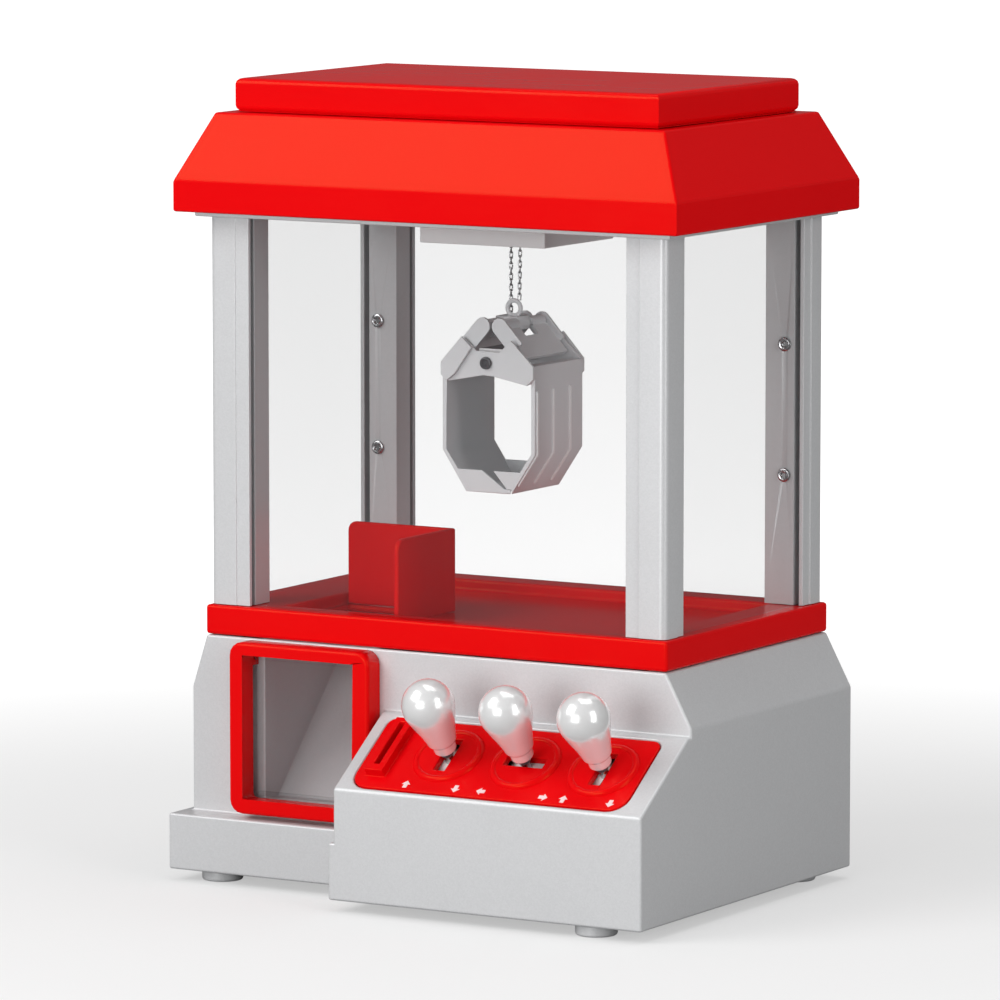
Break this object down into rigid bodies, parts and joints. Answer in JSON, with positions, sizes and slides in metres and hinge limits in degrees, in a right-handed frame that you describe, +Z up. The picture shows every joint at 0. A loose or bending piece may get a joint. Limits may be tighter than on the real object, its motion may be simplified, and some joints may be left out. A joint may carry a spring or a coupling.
{
  "type": "claw crane machine",
  "caption": "Table-top claw crane: cabin on four posts, gantry with chain hoist and clamshell claw, prize chute and flap, three joysticks, hinged roof lid.",
  "frame": {"origin": "on the ground, under the centre of the overall bounding box", "axes": "+Z up, +X to the right and +Y away from the player, who stands at -Y"},
  "size_m": [0.254, 0.2043, 0.35],
  "materials": {
    "silver_plastic": "silver painted moulding with a soft sheen",
    "silver_underside": "plain silver-grey moulding",
    "circuit_green": "green circuit board",
    "black_plastic": "plain black moulding",
    "red_gloss": "smooth glossy red moulding",
    "clear_sheet": "clear polished sheet",
    "bright_steel": "bright drawn steel",
    "grey_plastic": "glossy mid grey moulding",
    "white_nylon": "unpainted white nylon",
    "light_grey_plastic": "plain light grey moulding",
    "dark_grey_plastic": "plain dark grey moulding",
    "chromed_knob": "satin chrome plating on plastic"
  },
  "bodies": {
    "cabinet": {"base_plate": "silver_underside", "base_shell": "silver_plastic", "battery_door": "silver_underside", "chute_guard": "red_gloss", "circuit_board": "circuit_green", "control_panel": "red_gloss", "foot_front_left": "silver_plastic", "foot_front_right": "silver_plastic", "foot_rear_left": "silver_plastic", "foot_rear_right": "silver_plastic", "joystick_socket": "white_nylon", "lid_hinge_rod": "bright_steel", "pane_front": "clear_sheet", "pane_left": "clear_sheet", "pane_rear": "clear_sheet", "pane_right": "clear_sheet", "post_front_left": "silver_plastic", "post_front_right": "silver_plastic", "post_rear_left": "silver_plastic", "post_rear_right": "silver_plastic", "prize_bezel": "red_gloss", "prize_chute": "silver_plastic", "rail_left": "bright_steel", "rail_right": "bright_steel", "roof": "red_gloss", "screw_rear_left_lower": "bright_steel", "screw_rear_left_upper": "bright_steel", "screw_rear_right_lower": "bright_steel", "screw_rear_right_upper": "bright_steel", "speaker": "black_plastic", "top_frame": "silver_plastic", "tray": "red_gloss"},
    "bridge": {"bridge": "grey_plastic", "cross_rod_front": "bright_steel", "cross_rod_rear": "bright_steel", "bridge_gearmotor": "white_nylon"},
    "bridge_pinion": {"bridge_pinion": "white_nylon"},
    "trolley": {"trolley": "light_grey_plastic", "trolley_gearmotor": "white_nylon", "hoist_gearmotor": "white_nylon", "chain_hold": "bright_steel", "chain_close": "bright_steel"},
    "trolley_pinion": {"trolley_pinion": "white_nylon"},
    "drum": {"hoist_drum": "white_nylon"},
    "claw": {"claw_head": "grey_plastic"},
    "crosshead": {"crosshead": "dark_grey_plastic"},
    "jaw_left": {"jaw_left": "grey_plastic"},
    "jaw_right": {"jaw_right": "grey_plastic"},
    "link_left": {"link_left": "grey_plastic"},
    "link_right": {"link_right": "grey_plastic"},
    "prize_flap": {"prize_flap": "clear_sheet"},
    "roof_lid": {"roof_lid": "red_gloss"},
    "coin_lever": {"coin_lever": "white_nylon"},
    "power_switch": {"power_switch": "black_plastic"},
    "stick_left": {"lever_left": "bright_steel", "knob_left": "chromed_knob"},
    "stick_middle": {"lever_middle": "bright_steel", "knob_middle": "chromed_knob"},
    "stick_right": {"lever_right": "bright_steel", "knob_right": "chromed_knob"}
  },
  "joints": [
    {"name": "bridge_travel", "type": "slide", "parent": "cabinet", "child": "bridge", "axis": [0, 1, 0], "range_m": [-0.032, 0.032]},
    {"name": "bridge_pinion_spin", "type": "hinge", "parent": "bridge", "child": "bridge_pinion", "pos_m": [-0.11375, 0.02067, 0.308], "axis": [1, 0, 0], "range_deg": [-256.6, 256.6]},
    {"name": "trolley_travel", "type": "slide", "parent": "bridge", "child": "trolley", "axis": [1, 0, 0], "range_m": [-0.052, 0.048]},
    {"name": "trolley_pinion_spin", "type": "hinge", "parent": "trolley", "child": "trolley_pinion", "pos_m": [0.0205, 0.05517, 0.3095], "axis": [0, 1, 0], "range_deg": [-415.8, 384]},
    {"name": "hoist", "type": "slide", "parent": "trolley", "child": "claw", "axis": [0, 0, -1], "range_m": [-0.006, 0.045], "deforming": ["chain_hold", "chain_close"]},
    {"name": "drum_spin", "type": "hinge", "parent": "trolley", "child": "drum", "pos_m": [0, 0.02847, 0.324], "axis": [1, 0, 0], "range_deg": [-51.1, 370.3]},
    {"name": "claw_opening", "type": "slide", "parent": "claw", "child": "crosshead", "axis": [0, 0, -1], "range_m": [0, 0.0135]},
    {"name": "jaw_right_swing", "type": "hinge", "parent": "crosshead", "child": "jaw_right", "pos_m": [-0.0022, 0.02067, 0.228], "axis": [0, -1, 0], "range_deg": [0, 41]},
    {"name": "jaw_left_swing", "type": "hinge", "parent": "crosshead", "child": "jaw_left", "pos_m": [-0.0022, 0.02067, 0.228], "axis": [0, 1, 0], "range_deg": [0, 41]},
    {"name": "link_right_swing", "type": "hinge", "parent": "claw", "child": "link_right", "pos_m": [0.0021, 0.02067, 0.2435], "axis": [0, 1, 0], "range_deg": [0, 20.4]},
    {"name": "link_left_swing", "type": "hinge", "parent": "claw", "child": "link_left", "pos_m": [-0.0065, 0.02067, 0.2435], "axis": [0, -1, 0], "range_deg": [0, 20.4]},
    {"name": "prize_flap_swing", "type": "hinge", "parent": "cabinet", "child": "prize_flap", "pos_m": [-0.06225, -0.04953, 0.0995], "axis": [-1, 0, 0], "range_deg": [0, 75]},
    {"name": "roof_lid_swing", "type": "hinge", "parent": "cabinet", "child": "roof_lid", "pos_m": [0, 0.08577, 0.3386], "axis": [-1, 0, 0], "range_deg": [0, 100]},
    {"name": "coin_lever_press", "type": "hinge", "parent": "cabinet", "child": "coin_lever", "pos_m": [-0.007, -0.07154, 0.0533], "axis": [-1, 0, 0], "range_deg": [0, 10], "stiffness_Nm_per_rad": 0.02},
    {"name": "power_switch_slide", "type": "slide", "parent": "cabinet", "child": "power_switch", "axis": [1, 0, 0], "range_m": [0, 0.005]},
    {"name": "stick_left_tilt", "type": "hinge", "parent": "cabinet", "child": "stick_left", "pos_m": [0.0218, -0.06107, 0.04962], "axis": [1, 0, 0], "range_deg": [-14, 14], "stiffness_Nm_per_rad": 0.08},
    {"name": "stick_right_tilt", "type": "hinge", "parent": "cabinet", "child": "stick_right", "pos_m": [0.0974, -0.06107, 0.04962], "axis": [1, 0, 0], "range_deg": [-14, 14], "stiffness_Nm_per_rad": 0.08},
    {"name": "stick_middle_tilt", "type": "hinge", "parent": "cabinet", "child": "stick_middle", "pos_m": [0.0596, -0.06107, 0.04962], "axis": [0, 0.8212, 0.5707], "range_deg": [-14, 14], "stiffness_Nm_per_rad": 0.08}
  ],
  "couplings": [
    {"joint": "bridge_pinion_spin", "follows": "bridge_travel", "rad_per_m": -138.89},
    {"joint": "trolley_pinion_spin", "follows": "trolley_travel", "rad_per_m": 138.89},
    {"joint": "drum_spin", "follows": "hoist", "rad_per_m": 142.86},
    {"joint": "jaw_right_swing", "follows": "claw_opening", "rad_per_m": 51.714},
    {"joint": "jaw_left_swing", "follows": "claw_opening", "rad_per_m": 51.714},
    {"joint": "link_right_swing", "follows": "claw_opening", "rad_per_m": 25.022},
    {"joint": "link_left_swing", "follows": "claw_opening", "rad_per_m": 25.022}
  ]
}
